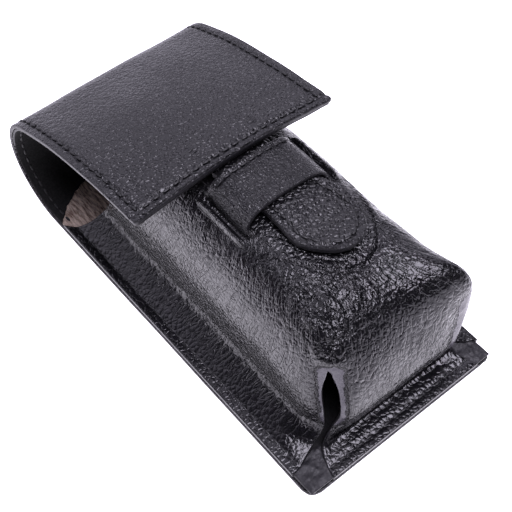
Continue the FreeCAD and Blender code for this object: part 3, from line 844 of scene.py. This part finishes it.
for v in bm.verts:
    x, y, z = v.co
    on_wall = ramp(z, 4.5, 9)
    away = math.hypot(abs(v[from_slit]), 2.2 * max(0.0, z - slit_top_height))
    v[slit_gap] = away - 1.9 + 4.0 * (1 - ramp(z, 6.5, 10.5)) + (0.9 if v[from_slit] < 0 else 0.0)
    out = 0.22 * lumps(x, y, z, 9.0) * on_wall
    coarse = bell(x + 5, 9) * bell(y - 21, 9) * ramp(z, 26, 34)
    bunched = bell((v.co - left_slit_top - Vector((2, 3, 4))).length, 6.5) * ramp(z, 23, 28)
    v[sewn_flat] = 1 - ramp(z, 6, 9)
    v[crumple] = min(1.0, 0.35 * ramp(z, 26, 34) + coarse + bunched)
    out += coarse * (0.36 * lumps(x, y, z, 2.5, 5.0) + 0.35 * lumps(x, y, z, 5.0, 9.0))
    around, down, drawn = v[lay]
    v[lay] = (around, down, drawn * ramp(z, 3.4, 7))
    out += 0.07 * drawn * on_wall * lumps(around, down / 5, z / 9, 1.5, 11.0)
    out += bunched * (0.62 * lumps(x, y, z, 2.1, 2.0) - 0.12)
    fanned = math.atan2(y - left_slit_top.y, x - left_slit_top.x)
    near_top = bell((v.co - left_slit_top).length, 10.0) * ramp(z, 26, 29)
    out += 0.45 * near_top * lumps(fanned * 4.0, z / 8, 0, 1.0, 21.0)
    beside, beyond = tongue_frame(x, y)
    printed = beyond - tongue_length - print_past_tip + print_point * abs(beside / print_half_width) ** 2.2
    if z > 30 and beyond > 20:
        out -= 0.5 * bell(printed, 0.55) - 0.18 * bell(printed + 1.2, 0.8)
    for strap_x in strap_slits:
        inside = ramp(y, strap_start - 1, strap_start + 1) * (1 - ramp(y, strap_end - 1, strap_end + 1))
        across = abs(x - strap_x)
        if z > 28:
            out += inside * (0.8 * bell(across - 1.0, 0.5) - 1.0 * bell(across, 0.4))
    lips = bell(away - 3.4, 0.9) * ramp(z, 5, 9) * (1 - ramp(z, 31, 35))
    out += lips * (0.3 * lumps(x, y, z, 1.6, 2.0) - 0.2)
    row = min(abs(half_width - edge_inset - abs(x)), abs(y - edge_inset))
    out -= 0.3 * bell(row, 0.5) * (1 - ramp(z, 4.2, 5.5))
    shifts[v] = v.normal * out
for v, shift in shifts.items():
    v.co += shift

# %% give the pocket its thickness
outside = BVHTree.FromBMesh(bm)
bm.normal_update()
outer_faces = list(bm.faces)
bmesh.ops.solidify(bm, geom=outer_faces, thickness=hide)
outer_faces = set(outer_faces)
rim_edges = []
for face in bm.faces:
    face.material_index = 0 if face in outer_faces else 2
for face in bm.faces:
    if face.material_index == 2 and any(n in outer_faces for e in face.edges for n in e.link_faces):
        face.material_index = 1
for e in bm.edges:
    kinds = sorted(f.material_index for f in e.link_faces)
    if kinds == [0, 1] and e.calc_face_angle(0.0) > 0.7:
        rim_edges.append(e)
bmesh.ops.bevel(bm, geom=rim_edges, offset=0.28, offset_type="OFFSET", segments=2, profile=0.5,
                affect="EDGES", material=-1)
print("rim edges bevelled:", len(rim_edges))
for v in bm.verts:
    v.co = place(*v.co)
pocket_piece = to_object("moulded_pocket", bm, [moulded_hide, cut_edge, flesh_side])

# %% [markdown]
# ## The tucked corners
# Where the flange is cut away at the two end corners, the hide that was slit is glued under as a crumpled
# black patch. A small grid with strong lumps stands for it.

# %% corner patches
def corner_patch(name, x_out, x_in, y_far, seed):
    def outline(u, t):
        return between(x_out, x_in, (u + 1) / 2), between(0.3, y_far, t)

    def crumpled(x, y, depth):
        to_edge = min(abs(x - x_out), y, abs(x - x_in) + 1.5, y_far - y + 1.5)
        height = 0.55 * lumps(x, y, 0, 2.2, seed) + 0.25 * lumps(x, y, 0, 0.9, seed)
        return place(x, y, 2.75 + height * ramp(to_edge, 0, 1.2) - 0.3 * (1 - ramp(to_edge, 0, 1.5)) - depth)

    return cut_sheet(name, 28, 28, outline, 0.6, crumpled, [cut_edge, cut_edge])


def slit_welt(name, strap_x, side):
    """The raised lip beside a strap slit: a narrow rolled ridge that follows the pocket's face."""
    def outline(u, t):
        taper = 1 - 0.5 * ramp(abs(2 * t - 1), 0.8, 1.0)
        return welt_width / 2 * u * taper, between(strap_start - 1.6, strap_end + 1.6, t)

    def rolled(x, y, depth):
        end_rise = 1 - ramp(abs(y - (strap_start + strap_end) / 2), 6.5, 9.1)
        hit, normal, _, _ = outside.ray_cast(Vector((strap_x + side * 1.2 + x, y, 60.0)), Vector((0, 0, -1)))
        rise = welt_rise * end_rise * (1 - (2 * x / welt_width) ** 2) + 0.1 * lumps(x, y, 0, 1.6, 3.0)
        return place(*(hit + normal * (rise - depth + 0.1)))

    return cut_sheet(name, 8, 60, outline, 0.5, rolled, [band_hide, cut_edge], None, (), 0.12)


welt_width = 1.5
welt_rise = 0.75
welts = []
for label, strap_x in zip(("left", "right"), strap_slits):
    for where, side in (("outer", math.copysign(1, strap_x)), ("inner", -math.copysign(1, strap_x))):
        welts.append(slit_welt(f"{label}_slit_{where}_lip", strap_x, side))
corner_pieces = [corner_patch("left_corner_tuck", -half_width + 0.5, -17.0, 8.5, 1.0),
                 corner_patch("right_corner_tuck", half_width - 0.4, 20.0, 8.0, 4.0)]

# %% [markdown]
# ## The strap and the tongue
# The strap is a short band bent over the crown, with both ends down its slits. The tongue is two layers sewn
# together and to the flap, wide near its end and rounded off. Both are cut flat and then bent, like the
# strip.

# %% the strap
strap_line = [(-10.0, 34.0), (-10.2, 37.4), (-9.1, 40.6), (-5.8, 42.5), (2.2, 43.1), (9.8, 42.6),
              (13.4, 41.0), (14.9, 38.0), (14.9, 34.5)]
strap_thickness = 1.1
strap_steps = 120
strap_places = [along(strap_line, (len(strap_line) - 1) * i / strap_steps) for i in range(strap_steps + 1)]
strap_lengths = [0.0]
for a, b in zip(strap_places, strap_places[1:]):
    strap_lengths.append(strap_lengths[-1] + math.dist(a, b))
strap_length = strap_lengths[-1]


def on_strap(s):
    """x, z and the outward direction at length s along the strap's outer face."""
    s = min(max(s, 0.0), strap_length)
    i = next(j for j in range(1, strap_steps + 1) if strap_lengths[j] >= s or j == strap_steps)
    share = (s - strap_lengths[i - 1]) / (strap_lengths[i] - strap_lengths[i - 1])
    a, b = Vector(strap_places[i - 1]), Vector(strap_places[i])
    spot = a.lerp(b, share)
    tangent = (b - a).normalized()
    return spot.x, spot.y, -tangent.y, tangent.x


def strap_bend(s, y, depth):
    x, z, out_x, out_z = on_strap(s)
    height = 0.12 * lumps(s, y, 0, 5.0, 8.0) - depth
    return place(x + out_x * height, y, z + out_z * height)


def strap_outline(u, t):
    s = strap_length * (u + 1) / 2
    waist = 0.35 * math.sin(math.pi * (u + 1) / 2)
    return s, between(strap_start + 0.3 + waist, strap_end - 0.3 - waist, t)


strap_piece = cut_sheet("strap", 90, 34, strap_outline, strap_thickness, strap_bend, [band_hide, cut_edge],
                        lambda s, y: 0.32 * bell(strap_end - 2.1 - y, 0.55))

# %% the tongue
tongue_heights = [(0, 41.2), (10, 41.4), (20, 41.25), (28, 40.7), (34, 40.75), (38, 41.2)]
tongue_hide = 1.0
blunt_drop = 7.8
blunt_power = 2.3


def tongue_outline(u, t):
    wide = by_place([(0, 7.7), (0.45, 7.9), (0.62, 8.5), (0.8, 9.2), (0.93, 9.35), (1.0, 8.7)], t)
    end_drop = blunt_drop * abs(u) ** blunt_power
    return u * wide, t * (tongue_length - end_drop * ramp(t, 0.3, 1.0))


def tongue_place(a, b, depth):
    spot = tongue_root + tongue_down * b + tongue_across * a
    z = by_place(tongue_heights, b) - 0.45 * (a / 9) ** 2 + 0.12 * lumps(a, b, 0, 7.0, 2.0)
    return place(spot.x, spot.y, z - depth)


def tongue_edge(a, b):
    """Distance from the tongue's edge, near enough for a groove."""
    t = min(1.0, max(0.0, b / tongue_length))
    wide = tongue_outline(1.0, t)[0]
    end = tongue_length - blunt_drop * min(1.0, abs(a) / wide) ** blunt_power
    return min(wide - abs(a), (end - b) * 0.92)


tongue_top = cut_sheet("tongue_outer", 44, 76, tongue_outline, tongue_hide, tongue_place,
                       [strip_hide, cut_edge], lambda a, b: 0.32 * bell(tongue_edge(a, b) - 2.0, 0.55))
tongue_under = cut_sheet("tongue_lining", 30, 50, tongue_outline, 0.85,
                         lambda a, b, h: tongue_place(a * 0.985, b * 0.993, h + tongue_hide + 0.05),
                         [lining, cut_edge])

# %% [markdown]
# ## Stitches
# A hand or machine stitch is a short piece of waxed thread that comes out of one hole and goes down the next.
# Modelled one by one as small drops they catch the light as the real rows do. There are hundreds, so each is
# a sphere of a few dozen faces, drawn out along the row and pressed into its groove, and a little uneven.

# %% one row of stitches
stitch_length = 2.0
stitch_pitch = 2.8
fine_pitch = 2.4
row_sink = 0.12
shallow_sink = 0.05


def stitch_row(name, spots, width=0.75, height=0.55):
    """spots are (place, direction along the row, direction out of the leather), all in the frame."""
    bm = bmesh.new()
    for i, (spot, way, out) in enumerate(spots):
        way = way.normalized()
        side = out.cross(way).normalized()
        out = way.cross(side).normalized()
        lean = 0.16 * lumps(i * 1.7, 0, 0, 1.0, 7.0)
        way, side = way + side * lean, side - way * lean
        long = stitch_length / 2 * (1 + 0.12 * lumps(i * 2.3, 5, 0, 1.0))
        shape = Matrix((way * long * MM, side * width / 2 * MM, out * height / 2 * MM)).transposed().to_4x4()
        laid = Matrix.Translation(spot) @ shape @ Matrix.Rotation(math.pi / 2, 4, "Y")
        bmesh.ops.create_uvsphere(bm, u_segments=8, v_segments=5, radius=1.0, matrix=laid)
    bmesh.ops.recalc_face_normals(bm, faces=bm.faces)
    return to_object(name, bm, [thread_black])


def row_on(surface, a, b, pitch=stitch_pitch, sink=0.0):
    """Stitches along a straight line of a surface's flat coordinates, from a to b."""
    a, b = Vector(a), Vector(b)
    count = max(1, round((b - a).length / pitch))
    spots = []
    for i in range(count):
        flat = a.lerp(b, (i + 0.5) / count)
        step = (b - a).normalized() * 0.5
        here = surface(flat.x, flat.y, sink)
        ahead = surface(flat.x + step.x, flat.y + step.y, sink)
        way = ahead - surface(flat.x - step.x, flat.y - step.y, sink)
        out = surface(flat.x, flat.y, sink - 0.5) - here
        spots.append((here, way, out))
    return spots


def on_pocket(x, y, sink):
    """The pocket's outer face straight under a point."""
    hit, normal, _, _ = outside.ray_cast(Vector((x, y, 60.0)), Vector((0, 0, -1)))
    return place(*(hit - normal * sink)) if hit else place(x, y, flange_top - sink)


row_x = half_width - edge_inset
under = hide + lining_thickness


def on_underside(x, s, sink):
    """The lining's face, on the inside of the strip."""
    return bent(x, s, under - sink)


rows = {}
for side, sign in (("left", -1), ("right", 1)):
    x = sign * row_x
    flange_row = row_on(on_pocket, (x, 8.4), (x, 95.5), sink=row_sink)
    back_row = row_on(bent, (x, 3.0), (x, 97.0), sink=row_sink)
    rows[f"pocket_thread_{side}"] = stitch_row(f"pocket_stitches_{side}", flange_row + back_row)
    low = row_on(bent, (x, 97.4), (x, junction - 0.3), sink=row_sink)
    low += row_on(on_underside, (x, 99.4), (x, junction - 0.3), sink=shallow_sink)
    rows[f"spine_thread_{side}"] = stitch_row(f"fold_stitches_{side}", low)
    high = row_on(bent, (x, junction + 0.3), (x, strip_length - edge_inset), sink=row_sink)
    high += row_on(on_underside, (x, junction + 0.3), (x, strip_length - edge_inset), sink=shallow_sink)
    rows[f"flap_thread_{side}"] = stitch_row(f"flap_stitches_{side}", high)
bottom_row = row_on(on_pocket, (-21.5, edge_inset), (22.5, edge_inset), sink=row_sink)
bottom_row += row_on(bent, (-row_x, edge_inset), (row_x, edge_inset), sink=row_sink)
rows["pocket_thread_bottom"] = stitch_row("pocket_stitches_end", bottom_row)
front_s = strip_length - edge_inset
front = row_on(bent, (-row_x + 1, front_s), (row_x - 1, front_s), sink=row_sink)
front += row_on(on_underside, (-row_x + 1, front_s), (row_x - 1, front_s), sink=shallow_sink)
rows["flap_thread_front"] = stitch_row("flap_stitches_front", front)

# %% the strap's and the tongue's stitches
hem_line = strap_end - 2.1
hem_from_end = 7.5
hem = row_on(strap_bend, (hem_from_end, hem_line), (strap_length - hem_from_end, hem_line),
             pitch=fine_pitch, sink=0.08)
rows["keeper_thread_hem"] = stitch_row("strap_stitches_hem", hem, 0.7, 0.45)
for name, x in (("left", strap_slits[0] - 2.0), ("right", strap_slits[1] + 2.0)):
    row = row_on(on_pocket, (x, strap_start), (x, strap_end), pitch=fine_pitch, sink=shallow_sink)
    rows[f"keeper_thread_{name}"] = stitch_row(f"strap_stitches_{name}", row, 0.5, 0.45)
border = []
border_steps = 60
border_inset = 2.2
border_pitch = 2.3
border_start = int(border_steps * 0.42)
line = [tongue_outline(-1, t / border_steps) for t in range(border_start, border_steps + 1)]
line += [tongue_outline(-1 + 2 * u / border_steps, 1.0) for u in range(1, border_steps)]
line += [tongue_outline(1, t / border_steps) for t in range(border_steps, border_start - 1, -1)]
centre = Vector((0.0, 22.0))
inner_line = [tuple(Vector(p) + (centre - Vector(p)).normalized() * border_inset) for p in line]
border_length = sum(math.dist(a, b) for a, b in zip(inner_line, inner_line[1:]))
spots, total = walked(inner_line, round(border_length / border_pitch), 0, 0)
for (ax, ay, _), (bx, by, _) in zip(spots, spots[1:]):
    mx, my = (ax + bx) / 2, (ay + by) / 2
    here = tongue_place(mx, my, 0.1)
    border.append((here, tongue_place(bx, by, 0.1) - tongue_place(ax, ay, 0.1), Vector((0, 0, 1))))
rows["tab_thread"] = stitch_row("tongue_stitches", border, 0.75, 0.5)
tacks = []
tack_half = 1.2
for x in (-7.4, 9.2):
    for step in (0.0, 1.1, 2.2):
        start, end = (x - tack_half, front_s - 3.0 - step), (x + tack_half, front_s - 3.4 - step)
        tacks += row_on(bent, start, end, pitch=fine_pitch, sink=shallow_sink)
rows["tab_tack_thread"] = stitch_row("tongue_tacks", tacks, 0.5, 0.4)

# %% [markdown]
# ## Stage, light and camera
# A pale floor and a large soft lamp overhead show leather best: its gloss is in wide soft patches, and the
# steep walls pick up the floor, which glows near the case as a painted pool of light. The room itself is
# dim, so that the round shoulders, which look at it, go dark.

# %% floor
def make_floor():
    bm = bmesh.new()
    bmesh.ops.create_grid(bm, x_segments=2, y_segments=2, size=3.0)
    for v in bm.verts:
        v.co.z = cad_box[0].z - 0.0002
    material, tree, shader = new_material("pale_floor_painted_glow", Roughness=0.9, Specular_IOR_Level=0.2)
    where = coordinates(tree, False)
    tone = add(tree, "ShaderNodeTexNoise", Scale=0.01, Detail=2.0)
    tree.links.new(where, tone.inputs["Vector"])
    pale = mixed(tree, tone.outputs["Fac"], (0.9, 0.9, 0.9), (0.94, 0.94, 0.94))
    tree.links.new(pale, shader.inputs["Base Color"])
    reach = add(tree, "ShaderNodeVectorMath", operation="LENGTH")
    tree.links.new(where, reach.inputs[0])
    # Painted light: the floor glows near the case, fading out between 70 and 110 mm from it, as a pool of
    # light.
    near = stepped(tree, reach.outputs["Value"], 70.0, 110.0, 1.0, 0.0)
    tree.links.new(mixed(tree, near, (0.0, 0.0, 0.0), (1.0, 0.96, 1.06)), shader.inputs["Emission Color"])
    shader.inputs["Emission Strength"].default_value = 1.9
    floor = to_object("floor", bm, [material])


make_floor()

# %% lights
middle = Vector((0.0, -0.01, 0.02))


def soft_lamp(name, towards, distance, size, radiance, tint):
    """A round lamp in that direction from the case. Its power follows from how bright its face is."""
    data = bpy.data.lights.new(name, "AREA")
    data.shape = "DISK"
    data.size = size
    data.energy = radiance * math.pi * math.pi * (size / 2) ** 2
    data.color = tint
    lamp = bpy.data.objects.new(name, data)
    bpy.context.scene.collection.objects.link(lamp)
    direction = Vector(towards).normalized()
    lamp.location = middle + direction * distance
    lamp.rotation_euler = direction.to_track_quat("Z", "Y").to_euler()


lamp_tint = (1.0, 0.95, 1.12)
soft_lamp("overhead_softbox", towards=(0.05, -0.24, 0.96), distance=0.9, size=0.7, radiance=9.4,
          tint=lamp_tint)

# %% the room: a white sweep rises at the far side, and the near side is dim
world = bpy.data.worlds.new("pale_room")
bpy.context.scene.world = world
world.use_nodes = True
room = world.node_tree
towards = add(room, "ShaderNodeTexCoord").outputs["Generated"]
parts = add(room, "ShaderNodeSeparateXYZ")
room.links.new(towards, parts.inputs[0])
far_side = add(room, "ShaderNodeVectorMath", operation="DOT_PRODUCT")
room.links.new(towards, far_side.inputs[0])
far_side.inputs[1].default_value = (0.15, 0.99, 0.0)
height_share = stepped(room, parts.outputs["Z"], 0.0, 0.6, 0.45, 1.4)
sweep = maths(room, "MULTIPLY", stepped(room, far_side.outputs["Value"], 0.15, 0.6), height_share)
sweep = maths(room, "ADD", sweep, 0.04)
background = room.nodes["Background"]
background.inputs["Color"].default_value = (1.0, 0.945, 1.15, 1.0)
room.links.new(sweep, background.inputs["Strength"])

# %% camera
camera_data = bpy.data.cameras.new("camera")
camera_data.sensor_width = 36.0
camera_data.lens = 77.7
camera = bpy.data.objects.new("camera", camera_data)
bpy.context.scene.collection.objects.link(camera)
eye = place(-101.09, -71.28, 233.59)
forward = Vector((0.3675, 0.4568, -0.8101)).normalized()
right = Vector((0.7713, -0.6364, -0.0089)).normalized()
up = right.cross(forward)
axes = Matrix((right, up, -forward)).transposed()
camera.matrix_world = Matrix.Translation(eye) @ axes.to_4x4()
bpy.context.scene.camera = camera
bpy.context.scene.view_settings.view_transform = "Standard"

# %% [markdown]
# ## Fix pieces to the bodies they move with
# Pieces on the flat back ride on the case, and the flap's front stitch row and the tongue's tacks ride on the
# flap. The strip, its lining, their stitch rows along the fold and flap, and the tongue stay fixed where they
# were made. The frame's parts that each piece stands for are hidden.

# %% ride, or stay fixed
high_end = place(0, *on_fold(junction + high_turn)[:2])


def bends_low(piece, slot, *nodes):
    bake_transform(piece)
    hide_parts(*nodes)


def bends_high(piece, slot, *nodes):
    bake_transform(piece)
    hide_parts(*nodes)


def rides(piece, body, slot, *nodes):
    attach(piece, body)
    if nodes:
        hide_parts(*nodes)


bends_low(back_piece, "hide", "back_outer", "spine_outer")
bends_high(flap_piece, "hide", "flap_outer")
bends_low(suede_piece, "lining", "back_lining")
bends_low(lining_low, "lining", "spine_lining")
bends_high(lining_high, "lining", "flap_lining")
rides(pocket_piece, "case", "moulded_hide", "pocket")
for piece in corner_pieces + welts:
    rides(piece, "case", "moulded_hide")
rides(strap_piece, "case", "hide", "keeper")
for side in ("left", "right"):
    rides(rows[f"pocket_thread_{side}"], "case", "thread", f"pocket_thread_{side}")
    bends_low(rows[f"spine_thread_{side}"], "thread", f"spine_thread_{side}")
    bends_high(rows[f"flap_thread_{side}"], "thread", f"flap_thread_{side}")
    rides(rows[f"keeper_thread_{side}"], "case", "thread", f"keeper_thread_{side}")
rides(rows["pocket_thread_bottom"], "case", "thread", "pocket_thread_bottom")
rides(rows["keeper_thread_hem"], "case", "thread", "keeper_thread_hem")
rides(rows["flap_thread_front"], "flap", "thread", "flap_thread_front")
rides(rows["tab_tack_thread"], "flap", "thread", "tab_tack_thread")
tongue_start = tongue_place(0, 0, 0)
tongue_end = tongue_place(0, 6.0, 0)
for piece, slot, node in ((tongue_top, "hide", "tab_outer"), (tongue_under, "tab_back", "tab_lining"),
                          (rows["tab_thread"], "thread", "tab_thread")):
    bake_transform(piece)
    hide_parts(node)

# %% sizes kept, and the end
print("CAD box", [[round(c / MM, 1) for c in v] for v in cad_box])
